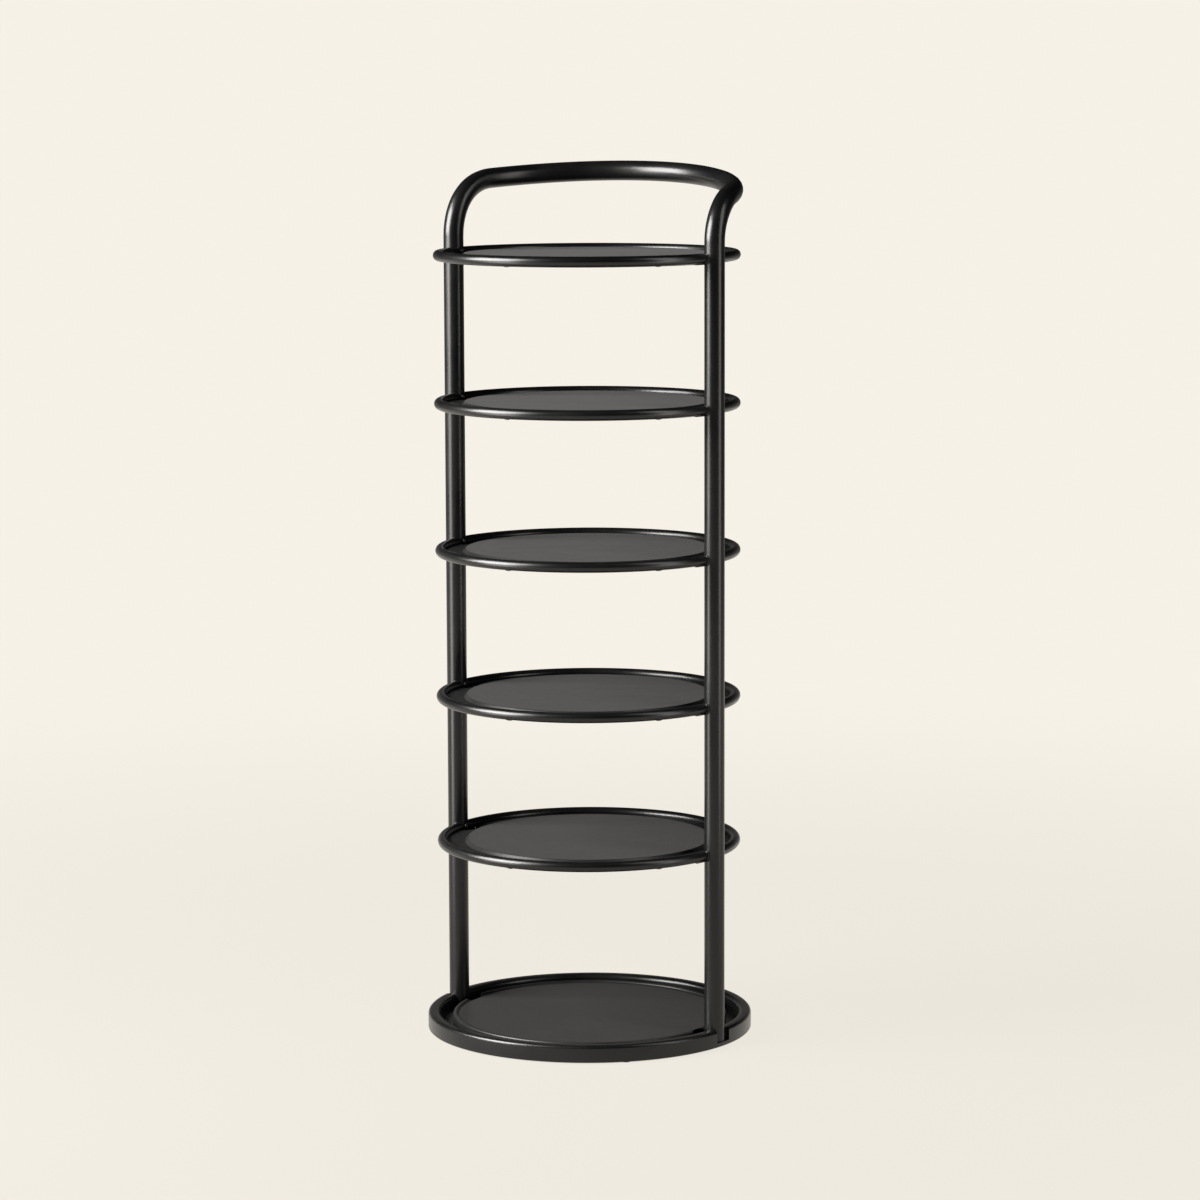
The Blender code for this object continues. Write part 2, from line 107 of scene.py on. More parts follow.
# Pressed plates
PLATE_SHEET = 0.0012
PLATE_DROP = 0.0012
PANEL_RISE = 0.0036
PANEL_RADIUS = 0.1360
PANEL_SLOPE = 0.0030
PANEL_FILLET = 0.0012
PLATE_GAP = 0.0003
LIP_TURN = math.radians(62)
NOTCH_RADIUS = 0.0240
WELL_DROP = 0.0040
WELL_EDGE_DROP = 0.0003
WELL_RELIEF = 0.0002
WELL_TURN = math.radians(100)
TACK_COUNT = 6
TACK_RADIUS = 0.0022
TACK_TURN = LIP_TURN + math.radians(14)
TACK_SHAPE = (0.55, 1.9, 0.45)

# Base
RIM_WIDTH = 0.0135
RIM_OUTER_FILLET = 0.0035
RIM_INNER_FILLET = 0.0045
RIM_FOOT_FILLET = 0.0012
RIM_INNER_FOOT_FILLET = 0.0006
LEDGE_FILLET = 0.0004
LEDGE_ROOT_FILLET = 0.0008
LEDGE_UNDERSIDE = 0.0032
LEDGE_THICKNESS = 0.0016
LEDGE_WIDTH = 0.0270
SEAT_GAP = 0.0003
BASE_SHEET = 0.0015
BEAD_WIDTH = 0.0042
BEAD_RISE = 0.0016
VALLEY_WIDTH = 0.0040
VALLEY_DEPTH = 0.0008
BEAD_FILLET = 0.0011
BEAD_FOOT_FILLET = 0.0006
BEAD_OUTER_FILLET = 0.0018
PRESS_FILLET = 0.0008
SHEET_FILLET = 0.0003

# Fastenings
SCREW_RADIUS = 0.0025
SCREW_SEAT = 0.1546
SCREW_END = 0.1759
SCREW_HEAD_RADIUS = 0.00475
SCREW_HEAD_HEIGHT = 0.0026
SCREW_CROWN = 0.0022
SCREW_SOCKET = 0.0017
SCREW_SOCKET_DEPTH = 0.0013
SCREW_EDGE_BREAK = 0.00015
TIP_CHAMFER_SHARE = 0.3
BOLT_RADIUS = 0.0030
BOLT_HEAD_HEIGHT = 0.0024
BOLT_CROWN = 0.0016
BOLT_SOCKET = 0.0022
BOLT_SOCKET_DEPTH = 0.0012
BOLT_ROOM = 0.0066
SLEEVE_LEAD = 0.0010
SLEEVE_FILLET = 0.0003
GLIDE_EDGE = 0.0006
GLIDE_TOP_EDGE = 0.0002

# Camera, as it stood in front of the rack
CAMERA_AZIMUTH = math.radians(31.84)
CAMERA_DISTANCE = 4.4
CAMERA_SIDE = 0.01295
CAMERA_HEIGHT = 1.0576
CAMERA_PITCH = math.radians(7.559)
CAMERA_ROLL = math.radians(-0.196)
SENSOR = 36.0
LENS = 122.13

# Studio
CREAM = (0.925, 0.880, 0.797)
FLOOR_RADIUS = 40.0
FLOOR_CLOTH = (0.200, 0.191, 0.173)
FLOOR_SHARE_NEAR = 0.89
FLOOR_SHARE_FAR = 1.0
FLOOR_NEAR = 0.5
FLOOR_FAR = 2.5
AMBIENT = 0.35
TENT_RADIUS = 3.4
TENT_FRONT = 0.006
TENT_BACK = 0.36
TENT_BACK_SPAN = 0.95
TENT_FADE = 0.45
TENT_HEM = 0.001
TENT_GLOW = (1.0, 0.965, 0.91)
CLOTH_ROUGHNESS = 0.9
KEY_WHITE = (1.0, 0.985, 0.96)
FILL_WHITE = (1.0, 0.98, 0.95)


def polar(radius, angle, level=0.0):
    return Vector((radius * math.cos(angle), radius * math.sin(angle), level))


def lifted(level):
    return Matrix.Translation((0.0, 0.0, level))


def at_upright(side):
    """The place of an upright's axis at floor level."""
    return Matrix.Translation(polar(UPRIGHT_RADIUS, ANGLES[side]))


def arc(centre, radius, start, end, steps):
    """Points of a round in an outline, from one angle to another."""
    turns = [start + (end - start) * step / steps for step in range(steps + 1)]
    return [(centre[0] + radius * math.cos(turn), centre[1] + radius * math.sin(turn)) for turn in turns]


def rounded(corners, closed=False):
    """An outline whose corners, given as (x, z, fillet), are rounded off."""
    points = []
    for index, (x, z, fillet) in enumerate(corners):
        here = Vector((x, z))
        if not fillet or (not closed and index in (0, len(corners) - 1)):
            points.append((x, z))
            continue
        before = (Vector(corners[index - 1][:2]) - here).normalized()
        after = (Vector(corners[(index + 1) % len(corners)][:2]) - here).normalized()
        half = before.angle(after) / 2
        reach = fillet / math.tan(half)
        centre = here + (before + after).normalized() * (fillet / math.sin(half))
        first = here + before * reach - centre
        last = here + after * reach - centre
        start = math.atan2(first.y, first.x)
        sweep = (math.atan2(last.y, last.x) - start + math.pi) % math.tau - math.pi
        points.extend(arc(centre, fillet, start, start + sweep, CORNER_STEPS))
    return points


# Modelling by hand, with Blender's own operators

def start_fresh():
    if bpy.context.object and bpy.context.object.mode != "OBJECT":
        bpy.ops.object.mode_set(mode="OBJECT")
    bpy.ops.object.select_all(action="DESELECT")


def pick(piece):
    start_fresh()
    piece.select_set(True)
    bpy.context.view_layer.objects.active = piece


def edit_all(piece):
    """Goes into edit mode with everything on the piece selected."""
    pick(piece)
    bpy.ops.object.mode_set(mode="EDIT")
    bpy.ops.mesh.select_all(action="SELECT")


def drop(piece):
    bpy.data.objects.remove(piece, do_unlink=True)


def drawn(name, points):
    """A line of edges: one corner of a small plane, extruded from point to point."""
    start_fresh()
    bpy.ops.mesh.primitive_plane_add(size=0.001)
    piece = bpy.context.object
    piece.name = piece.data.name = name
    edit_all(piece)
    bpy.ops.mesh.merge(type="CENTER")
    places = [Vector(point) for point in points]
    bpy.ops.transform.translate(value=places[0])
    for here, there in zip(places, places[1:]):
        bpy.ops.mesh.extrude_region_move(TRANSFORM_OT_translate={"value": there - here})
    bpy.ops.object.mode_set(mode="OBJECT")
    return piece


def tidy_mesh(piece):
    """Merges doubles and turns every face outwards."""
    edit_all(piece)
    bpy.ops.mesh.remove_doubles(threshold=MERGE)
    bpy.ops.mesh.normals_make_consistent(inside=False)
    bpy.ops.object.mode_set(mode="OBJECT")
    return piece


def modified(piece, kind, **settings):
    """Adds a modifier to a piece and applies it."""
    pick(piece)
    bpy.ops.object.modifier_add(type=kind)
    modifier = piece.modifiers[-1]
    for key, value in settings.items():
        setattr(modifier, key, value)
    bpy.ops.object.modifier_apply(modifier=modifier.name)
    return piece


def smooth(piece, angle=SMOOTH_ANGLE):
    """Smooth shading with normals weighted by area, so that large faces stay flat up to their edges."""
    pick(piece)
    bpy.ops.object.shade_smooth_by_angle(angle=angle)
    return modified(piece, "WEIGHTED_NORMAL", keep_sharp=True)


def turned(name, outline, steps=TURN_STEPS, closed=False):
    """A piece spun round +Z from an outline of (radius, level) points."""
    points = [(radius, 0.0, level) for radius, level in outline]
    piece = drawn(name, points + points[:1] if closed else points)
    edit_all(piece)
    bpy.ops.mesh.spin(steps=steps, angle=math.tau, center=(0.0, 0.0, 0.0), axis=(0.0, 0.0, 1.0))
    bpy.ops.object.mode_set(mode="OBJECT")
    return tidy_mesh(piece)


def bent_bar(name, points, radius, resolution, closed=False):
    """A round bar along a line of points."""
    piece = drawn(name, [*points, points[0]] if closed else points)
    if closed:
        tidy_mesh(piece)
    pick(piece)
    bpy.ops.object.convert(target="CURVE")
    line = bpy.context.object.data
    line.dimensions = "3D"
    line.twist_mode = "MINIMUM"
    line.bevel_depth = radius
    line.bevel_resolution = resolution
    line.use_fill_caps = not closed
    bpy.ops.object.convert(target="MESH")
    return tidy_mesh(bpy.context.object)


def joined(pieces):
    """Makes one piece of several."""
    start_fresh()
    for piece in pieces:
        piece.select_set(True)
    bpy.context.view_layer.objects.active = pieces[0]
    bpy.ops.object.join()
    return pieces[0]


def carve(piece, cutter, operation="DIFFERENCE"):
    """Cuts one closed piece out of another, or joins it on, and drops the second one."""
    modified(piece, "BOOLEAN", operation=operation, solver="EXACT", object=cutter)
    drop(cutter)


def break_edges(piece, width=EDGE_BREAK):
    """Rounds off the edges that the cuts leave sharp."""
    return modified(piece, "BEVEL", width=width, segments=EDGE_SEGMENTS, limit_method="ANGLE",
                    angle_limit=EDGE_ANGLE)


def placed(piece, matrix):
    """Moves a piece by its mesh, so that its object stays at the origin."""
    piece.data.transform(matrix)
    return piece


def copied(piece, name, matrix):
    """A copy with its own mesh, moved to its own place."""
    pick(piece)
    bpy.ops.object.duplicate(linked=False)
    twin = bpy.context.object
    twin.name = twin.data.name = name
    return placed(twin, matrix)


def post(name, radius, low, high, side=None, steps=SMALL_STEPS):
    """A closed round post on the Z axis, or on the axis of one side's upright."""
    start_fresh()
    foot = polar(UPRIGHT_RADIUS, ANGLES[side]) if side else Vector()
    middle = foot + Vector((0.0, 0.0, (low + high) / 2))
    bpy.ops.mesh.primitive_cylinder_add(vertices=steps, radius=radius, depth=high - low, location=middle)
    piece = bpy.context.object
    piece.name = name
    bpy.ops.object.transform_apply(location=True, rotation=True, scale=True)
    return piece


def finish_piece(piece, material, slot, *nodes):
    """Gives a piece its finish and hides the nodes that it stands for. Its slot is not used."""
    piece.data.materials.clear()
    piece.data.materials.append(material)
    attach(piece, "root")
    if nodes:
        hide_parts(*nodes)


def repeat(pattern, name, material, slot, node=None):
    """A copy of a pattern at every shelf, finished, in place of the pattern at level zero."""
    for number, level in enumerate(LEVELS, 1):
        nodes = [f"{node}_{number}"] if node else []
        finish_piece(copied(pattern, f"{name}_{number}", lifted(level)), material, slot, *nodes)
    drop(pattern)


# Shader maths

class Value:
    """A shader socket that Python's operators combine through Math nodes."""

    def __init__(self, nodes, socket):
        self.nodes = nodes
        self.socket = socket

    def math(self, operation, first, second):
        return self.nodes.add("ShaderNodeMath", {"operation": operation}, {0: first, 1: second})

    def __add__(self, other):
        return self.math("ADD", self, other)

    def __radd__(self, other):
        return self.math("ADD", other, self)

    def __mul__(self, other):
        return self.math("MULTIPLY", self, other)

    def __rmul__(self, other):
        return self.math("MULTIPLY", other, self)

    def larger(self, other):
        return self.math("MAXIMUM", self, other)


class Nodes:
    """The nodes of a material or of the world."""

    def __init__(self, tree):
        self.tree = tree

    def feed(self, socket, value):
        if isinstance(value, Value):
            self.tree.links.new(value.socket, socket)
        else:
            socket.default_value = value

    def add(self, kind, settings=None, inputs=None, output=0):
        node = self.tree.nodes.new(kind)
        for key, value in (settings or {}).items():
            setattr(node, key, value)
        for key, value in (inputs or {}).items():
            self.feed(node.inputs[key], value)
        return Value(self, node.outputs[output])

    def seen(self):
        """1 on rays from the camera, a reflection or glass, and 0 on rays that gather light."""
        camera = self.add("ShaderNodeLightPath", output="Is Camera Ray")
        reflection = self.add("ShaderNodeLightPath", output="Is Glossy Ray")
        glass = self.add("ShaderNodeLightPath", output="Is Transmission Ray")
        return camera.larger(reflection).larger(glass)


class Finish(Nodes):
    """One material, with its main shader and the nodes that feed it."""

    def __init__(self, name, colour, roughness, **constants):
        self.material = bpy.data.materials.new(name)
        self.material.use_nodes = True
        super().__init__(self.material.node_tree)
        self.shader = self.tree.nodes["Principled BSDF"]
        self.set(Base_Color=(*colour, 1.0), Roughness=roughness, **constants)
        self.place = self.add("ShaderNodeTexCoord", output="Object")

    def set(self, **sockets):
        for key, value in sockets.items():
            self.feed(self.shader.inputs[key.replace("_", " ")], value)
        return self.material

    def show(self, shader):
        """Makes a shader the one that the surface shows."""
        self.feed(self.tree.nodes["Material Output"].inputs["Surface"], shader)

    def show_both(self, share, other):
        """Puts another shader over the main one, by a share."""
        main = Value(self, self.shader.outputs[0])
        self.show(self.add("ShaderNodeMixShader", inputs={0: share, 1: main, 2: other}))

    def noise(self, scale, detail=2.0, roughness=0.5):
        inputs = {"Vector": self.place, "Scale": scale, "Detail": detail, "Roughness": roughness}
        return self.add("ShaderNodeTexNoise", inputs=inputs, output="Fac")

    def ramp(self, value, low, high):
        """A value spread over 0 to 1 between two of its levels."""
        return self.add("ShaderNodeMapRange", {"interpolation_type": "SMOOTHSTEP"},
                        {"Value": value, "From Min": low, "From Max": high})

    def blend(self, share, first, second):
        """Mixes two colours."""
        ends = [end if isinstance(end, Value) else (*end, 1.0) for end in (first, second)]
        inputs = {"Factor": share, 6: ends[0], 7: ends[1]}
        return self.add("ShaderNodeMix", {"data_type": "RGBA"}, inputs, 2)

    def bump(self, height, strength, distance, below=None):
        """A relief on the surface, over another one if it is given."""
        inputs = {"Height": height, "Strength": strength, "Distance": distance}
        if below:
            inputs["Normal"] = below
        return self.add("ShaderNodeBump", inputs=inputs)

    def upward(self):
        """How far the surface faces up, from -1 to 1."""
        normal = self.add("ShaderNodeNewGeometry", output="Normal")
        return self.add("ShaderNodeSeparateXYZ", inputs={0: normal}, output="Z")

    def from_axis(self):
        """Distance from the rack's middle axis."""
        level = self.add("ShaderNodeVectorMath", {"operation": "MULTIPLY"},
                         {0: self.place, 1: (1.0, 1.0, 0.0)})
        return self.add("ShaderNodeVectorMath", {"operation": "LENGTH"}, {0: level}, "Value")


# Finishes

SATIN_BLACK = (0.0034, 0.0034, 0.0036)
SATIN_HANDLED = (0.0070, 0.0069, 0.0067)
MATT_BLACK = (0.0080, 0.0080, 0.0080)
MATT_HANDLED = (0.0130, 0.0127, 0.0123)
DUST = (0.20, 0.19, 0.17)
COAT_SPECULAR = 0.42
SHEEN_ROUGHNESS = 0.4
PEEL_SCALE = 620.0
PEEL_DEPTH = 0.00003
FLOW_SCALE = 70.0
FLOW_DEPTH = 0.00010
FLOW_STRENGTH = 0.2
SPECK_SCALE = 1500.0
HANDLED_SCALE = 16.0
DUST_SCALE = 240.0
# Painted shade on the flange: how much less shine and more roughness it gets, and where it starts.
FLANGE_SHADE_SPECULAR = 0.25
FLANGE_SHADE_ROUGHER = 0.15
FLANGE_SHADE_INSIDE = 0.0006
FLANGE_SHADE_OUTSIDE = 0.0002


def coated(name, colour, light_colour, roughness, spread, peel, sheen=0.0, flange=None):
    """Baked powder coat: slight orange peel, a long flow in the film and handled, duller places.

    Outside a flange radius, if it has one, the coat is duller and darker, as painted shade between the
    panel and the hoop's bar.
    """
    coat = Finish(name, colour, roughness, Specular_IOR_Level=COAT_SPECULAR, Sheen_Weight=sheen,
                  Sheen_Roughness=SHEEN_ROUGHNESS)
    peel_height = coat.noise(PEEL_SCALE)
    flow = coat.noise(FLOW_SCALE, 1.0)
    handled = coat.ramp(coat.noise(HANDLED_SCALE, 4.0, 0.6), 0.42, 0.66)
    speck = coat.ramp(coat.noise(SPECK_SCALE, 1.0), 0.60, 0.72)
    facing_up = coat.ramp(coat.upward(), 0.80, 0.98)
    dust = facing_up * coat.ramp(coat.noise(DUST_SCALE, 5.0, 0.7), 0.45, 0.75)
    tone = coat.blend(handled * 0.6 + speck * 0.3, colour, light_colour)
    dusty = coat.blend(dust * 0.04, tone, DUST)
    rough = handled * spread + dust * 0.05 + speck * 0.04 + roughness
    normal = coat.bump(peel_height, peel, PEEL_DEPTH, coat.bump(flow, FLOW_STRENGTH, FLOW_DEPTH))
    # Painted shade: a duller, darker shader on the flange, with less shine, no sheen and no dust, stands in
    # for the shade between the panel and the bar.
    if flange:
        painted_shade = coat.add("ShaderNodeBsdfPrincipled", inputs={
            "Base Color": tone,
            "Roughness": rough + FLANGE_SHADE_ROUGHER,
            "Specular IOR Level": FLANGE_SHADE_SPECULAR,
            "Normal": normal,
        })
        coat.show_both(coat.ramp(coat.from_axis(), flange - FLANGE_SHADE_INSIDE, flange + FLANGE_SHADE_OUTSIDE), painted_shade)
    return coat.set(Base_Color=dusty, Roughness=rough, Normal=normal)


def satin_coat():
    """The coat of the tube, the hoops and the rim: deep black with a soft shine."""
    return coated("satin_black_coat", SATIN_BLACK, SATIN_HANDLED, roughness=0.28, spread=0.03, peel=0.14)


def shelf_coat():
    """The coat of the shelves: matt, and duller and darker on the flange than on the panel, as painted
    shade between the panel and the bar.
    """
    return coated("matt_black_coat", MATT_BLACK, MATT_HANDLED, roughness=0.35, spread=0.05, peel=0.25,
                  sheen=0.059, flange=PANEL_RADIUS)


def disc_coat():
    """The coat of the base's disc: matt, a little darker than the shelves."""
    return coated("matt_black_disc_coat", MATT_BLACK, MATT_HANDLED, roughness=0.38, spread=0.05, peel=0.25,
                  sheen=0.033)


def blackened_steel():
    steel = Finish("blackened_steel", (0.035, 0.035, 0.038), 0.36, Metallic=1.0)
    grain = steel.noise(900.0, 3.0, 0.6)
    worn = steel.ramp(steel.noise(420.0, 4.0, 0.6), 0.52, 0.70)
    tone = steel.blend(worn * 0.7, (0.030, 0.030, 0.033), (0.090, 0.088, 0.085))
    skin = steel.bump(grain, 0.3, 0.00002)
    return steel.set(Base_Color=tone, Roughness=0.32 + grain * 0.16, Normal=skin)


def black_nylon():
    nylon = Finish("black_nylon", (0.016, 0.016, 0.017), 0.55)
    grain = nylon.noise(1200.0, 3.0, 0.6)
    tone = nylon.blend(grain, (0.013, 0.013, 0.014), (0.024, 0.024, 0.025))
    skin = nylon.bump(grain, 0.4, 0.00003)
    return nylon.set(Base_Color=tone, Roughness=0.50 + grain * 0.15, Normal=skin)


def black_rubber():
    rubber = Finish("black_rubber", (0.022, 0.022, 0.022), 0.85)
    grain = rubber.noise(900.0, 4.0, 0.7)
    scuffed = rubber.ramp(rubber.noise(160.0, 3.0), 0.45, 0.70)
    tone = rubber.blend(scuffed, (0.018, 0.018, 0.018), (0.050, 0.048, 0.045))
    skin = rubber.bump(grain, 0.6, 0.00005)
    return rubber.set(Base_Color=tone, Roughness=0.78 + grain * 0.14, Normal=skin)


# Pieces

def bend_rise(radius, slope):
    """One bend as (along, height) points, from an upright to the handle, which goes on at a slope."""
    turned_by = math.pi / 2 - math.atan(slope)
    turns = [turned_by * step / BEND_STEPS for step in range(BEND_STEPS + 1)]
    start = LEVELS[-1] + BEND_ABOVE_SHELF
    return [(radius * (1 - math.cos(turn)), start + radius * math.sin(turn)) for turn in turns]


def tube_path():
    """Middle line of the tube: up the left side, round the back and down the right side."""
    middle = Vector((0.0, -HANDLE_SHIFT, 0.0))
    right = polar(UPRIGHT_RADIUS, ANGLES["right"]) - middle
    arc_radius = right.length
    length = arc_radius * (math.pi - 2 * math.atan2(right.y, right.x))
    handle_length = length - LEFT_BEND_RADIUS - RIGHT_BEND_RADIUS
    fall = (LEFT_BEND_RADIUS - RIGHT_BEND_RADIUS) / handle_length
    arch = math.pi * HANDLE_RISE / handle_length
    left_bend = bend_rise(LEFT_BEND_RADIUS, arch - fall)
    right_bend = [(length - along, height) for along, height in bend_rise(RIGHT_BEND_RADIUS, arch + fall)]
    start, end = Vector(left_bend[-1]), Vector(right_bend[-1])
    handle = []
    for step in range(1, HANDLE_STEPS):
        share = step / HANDLE_STEPS
        handle.append(start.lerp(end, share) + Vector((0.0, HANDLE_RISE * math.sin(math.pi * share))))
    line = [(0.0, FRAME_FOOT), *left_bend, *handle, *reversed(right_bend), (length, FRAME_FOOT)]
    first = math.pi - math.atan2(right.y, right.x)
    return [middle + polar(arc_radius, first - along / arc_radius, height) for along, height in line]


def bend_frame(coat):
    """Both uprights and the handle, one bent tube."""
    tube = bent_bar("bent_frame", tube_path(), TUBE_RADIUS, TUBE_RESOLUTION)
    break_edges(tube, FOOT_EDGE)
    finish_piece(smooth(tube), coat, "frame_coat", "frame_tube")


def bend_hoops(coat):
    """The round bar hoop of each shelf."""
    start_fresh()
    bpy.ops.mesh.primitive_torus_add(major_segments=HOOP_STEPS, minor_segments=BAR_SIDES,
                                     major_radius=HOOP_RADIUS, minor_radius=BAR_RADIUS)
    repeat(smooth(bpy.context.object), "hoop", coat, "frame_coat", "shelf_hoop")


def weld_lines(side):
    """Where the bar of a hoop at level zero runs into an upright, on both sides of the upright."""
    offset = HOOP_RADIUS - UPRIGHT_RADIUS
    radial = polar(1.0, ANGLES[side])
    tangent = Vector((-radial.y, radial.x, 0.0))
    reach = BAR_RADIUS - WELD_SINK
    loops = []
    for way in (-1, 1):
        points = []
        for step in range(WELD_STEPS):
            turn = math.tau * step / WELD_STEPS
            out = offset + reach * math.cos(turn)
            run = math.sqrt(max(TUBE_RADIUS ** 2 - out ** 2, 0.0)) * way
            centre = radial * (UPRIGHT_RADIUS + out) + tangent * run
            points.append(centre + Vector((0.0, 0.0, reach * math.sin(turn))))
        loops.append(points)
    return loops


def lay_welds(coat):
    """A fine fillet of weld on both sides of each crossing of a hoop and an upright."""
    for side in SIDES:
        beads = [bent_bar("weld_bead", points, WELD_RADIUS, WELD_RESOLUTION, closed=True)
                 for points in weld_lines(side)]
        repeat(smooth(joined(beads), math.pi), f"hoop_weld_{side}", coat, "frame_coat")


def beside_bar(reach, turn):
    return (HOOP_RADIUS - reach * math.cos(turn), -reach * math.sin(turn))


def bar_relief():
    """A ring that keeps the wells clear of the bar of a hoop at level zero."""
    turns = [WELL_TURN * (RELIEF_STEPS - step) / RELIEF_STEPS for step in range(RELIEF_STEPS + 1)]
    beside = [beside_bar(BAR_RADIUS + WELL_RELIEF, turn) for turn in turns]
    far = UPRIGHT_RADIUS + NOTCH_RADIUS + PLATE_SHEET + OVERRUN
    deep = -HOOP_RADIUS / 4
    outline = [(far, OVERRUN), (far, deep), (beside[0][0], deep), *beside, (beside[-1][0], OVERRUN)]
    return turned("relief", outline, closed=True)


def sink_well(plate, side):
    """Sinks a shallow well into a plate, with a hole in its floor for one upright."""
    floor = -PLATE_DROP - WELL_DROP
    boss = post("boss", NOTCH_RADIUS + PLATE_SHEET, floor - PLATE_SHEET, -PLATE_DROP - WELL_EDGE_DROP,
                side, WELL_STEPS)
    carve(boss, bar_relief())
    carve(plate, boss, "UNION")
    carve(plate, post("pocket", NOTCH_RADIUS, floor, OVERRUN, side, WELL_STEPS))
    carve(plate, post("hole", TUBE_RADIUS + PLATE_GAP, floor - OVERRUN, OVERRUN, side, WELL_STEPS))


def press_plates(coat):
    """The round plate inside each hoop: a raised panel, a flange, and a lip that follows the bar down."""
    flange = -PLATE_DROP
    panel = flange + PANEL_RISE
    near = BAR_RADIUS + PLATE_GAP
    far = near + PLATE_SHEET
    top_turn = math.asin(-flange / near)
    under_turn = math.asin((PLATE_SHEET - flange) / far)
    shares = [step / CORNER_STEPS for step in range(CORNER_STEPS + 1)]
    lip_top = [beside_bar(near, top_turn + (LIP_TURN - top_turn) * share) for share in shares]
    lip_under = [beside_bar(far, LIP_TURN + (under_turn - LIP_TURN) * share) for share in shares]
    upper = rounded([(0.0, panel, 0.0), (PANEL_RADIUS - PANEL_SLOPE, panel, PANEL_FILLET),
                     (PANEL_RADIUS, flange, PANEL_FILLET), (*lip_top[0], 0.0)])
    lower = rounded([(*lip_under[-1], 0.0), (PANEL_RADIUS, flange - PLATE_SHEET, PANEL_FILLET),
                     (PANEL_RADIUS - PANEL_SLOPE, panel - PLATE_SHEET, PANEL_FILLET),
                     (0.0, panel - PLATE_SHEET, 0.0)])
    pattern = turned("plate_pattern", upper[:-1] + lip_top + lip_under + lower[1:])
    for side in SIDES:
        sink_well(pattern, side)
    repeat(smooth(break_edges(pattern)), "pressed_plate", coat, "plate_coat", "shelf_plate")


def tack_plates(coat):
    """Short tacks of weld under each hoop, where its plate hangs from the bar."""
    radius, level = beside_bar(BAR_RADIUS + PLATE_GAP, TACK_TURN)
    start_fresh()
    tacks = []
    for count in range(TACK_COUNT):
        angle = math.tau * (count + 0.5) / TACK_COUNT
        bpy.ops.mesh.primitive_uv_sphere_add(segments=TACK_SEGMENTS, ring_count=TACK_RINGS,
                                             radius=TACK_RADIUS)
        shape = Matrix.Rotation(angle, 4, "Z") @ Matrix.Diagonal((*TACK_SHAPE, 1.0))
        tacks.append(placed(bpy.context.object, Matrix.Translation(polar(radius, angle, level)) @ shape))
    repeat(smooth(joined(tacks), math.pi), "plate_tacks", coat, "frame_coat")


def foot_slot(low, high):
    """A cutter on the Z axis: a round post whose outer half is drawn out along +X."""
    slot = post("slot", TUBE_RADIUS + SEAT_GAP, low, high, steps=WELL_STEPS)
    pick(slot)
    for vertex in slot.data.vertices:
        vertex.select = vertex.co.x > 0.0
    bpy.ops.object.mode_set(mode="EDIT")
    bpy.ops.transform.translate(value=(TUBE_RADIUS, 0.0, 0.0))
    bpy.ops.object.mode_set(mode="OBJECT")
    return slot


def turn_rim(coat):
    """The thick ring on the floor and its ledge, with a slot for each upright and room for its bolt."""
    outer = RIM_HIGH.y
    inner = outer - RIM_WIDTH
    low, high = RIM_LOW.z, RIM_HIGH.z
    ledge = low + LEDGE_UNDERSIDE
    ledge_top = ledge + LEDGE_THICKNESS
    corners = [
        (outer, high, RIM_OUTER_FILLET),
        (outer, low, RIM_FOOT_FILLET),
        (inner, low, RIM_INNER_FOOT_FILLET),
        (inner, ledge, 0.0),
        (inner - LEDGE_WIDTH, ledge, LEDGE_FILLET),
        (inner - LEDGE_WIDTH, ledge_top, LEDGE_FILLET),
        (inner, ledge_top, LEDGE_ROOT_FILLET),
        (inner, high, RIM_INNER_FILLET),
    ]
    rim = turned("base_ring", rounded(corners, closed=True), closed=True)
    for side in SIDES:
        stand = at_upright(side) @ Matrix.Rotation(ANGLES[side], 4, "Z")
        carve(rim, placed(foot_slot(ledge_top, high + OVERRUN), stand))
        carve(rim, post("bolt_room", BOLT_ROOM, -OVERRUN, ledge, side))
    finish_piece(smooth(break_edges(rim)), coat, "frame_coat", "base_rim")


def press_base(coat):
    """The disc of the base: a skirt, a raised bead, a shallow valley inside it and the flat disc."""
    outer = DISC_HIGH.y
    disc = DISC_HIGH.z - BEAD_RISE
    floor = DISC_LOW.z
    bead_inner = outer - BEAD_WIDTH
    valley = bead_inner - VALLEY_WIDTH / 2
    skirt = outer - BASE_SHEET
    corners = [
        (0.0, disc, 0.0),
        (bead_inner - VALLEY_WIDTH, disc, PRESS_FILLET),
        (valley, disc - VALLEY_DEPTH, PRESS_FILLET),
        (bead_inner, disc, BEAD_FOOT_FILLET),
        (bead_inner + BEAD_WIDTH / 4, disc + BEAD_RISE, BEAD_FILLET),
        (outer, disc + BEAD_RISE, BEAD_OUTER_FILLET),
        (outer, floor, SHEET_FILLET),
        (skirt, floor, SHEET_FILLET),
        (skirt, disc - BASE_SHEET, PRESS_FILLET),
        (valley, disc - VALLEY_DEPTH - BASE_SHEET, PRESS_FILLET),
        (bead_inner - VALLEY_WIDTH, disc - BASE_SHEET, PRESS_FILLET),
        (0.0, disc - BASE_SHEET, 0.0),
    ]
    plate = turned("base_disc", rounded(corners))
    for side in SIDES:
        carve(plate, post("notch", NOTCH_RADIUS, -OVERRUN, disc + OVERRUN, side, WELL_STEPS))
    finish_piece(smooth(break_edges(plate)), coat, "plate_coat", "base_plate")


def headed(name, radius, length, head_radius, head_height, crown, socket, depth):
    """A button-headed screw, head down: crowned head, shank and a hexagon socket."""
    crowned = arc((head_radius - crown, crown - head_height), crown, 0.0, -math.pi / 2, CROWN_STEPS)
    chamfer = radius * TIP_CHAMFER_SHARE
    outline = [(0.0, length), (radius - chamfer, length), (radius, length - chamfer), (radius, 0.0),
               (head_radius, 0.0), *crowned, (0.0, -head_height)]
    screw = turned(name, outline, SMALL_STEPS)
    carve(screw, post("socket", socket, -head_height - OVERRUN, depth - head_height, steps=SOCKET_SIDES))
    return smooth(break_edges(screw, SCREW_EDGE_BREAK))


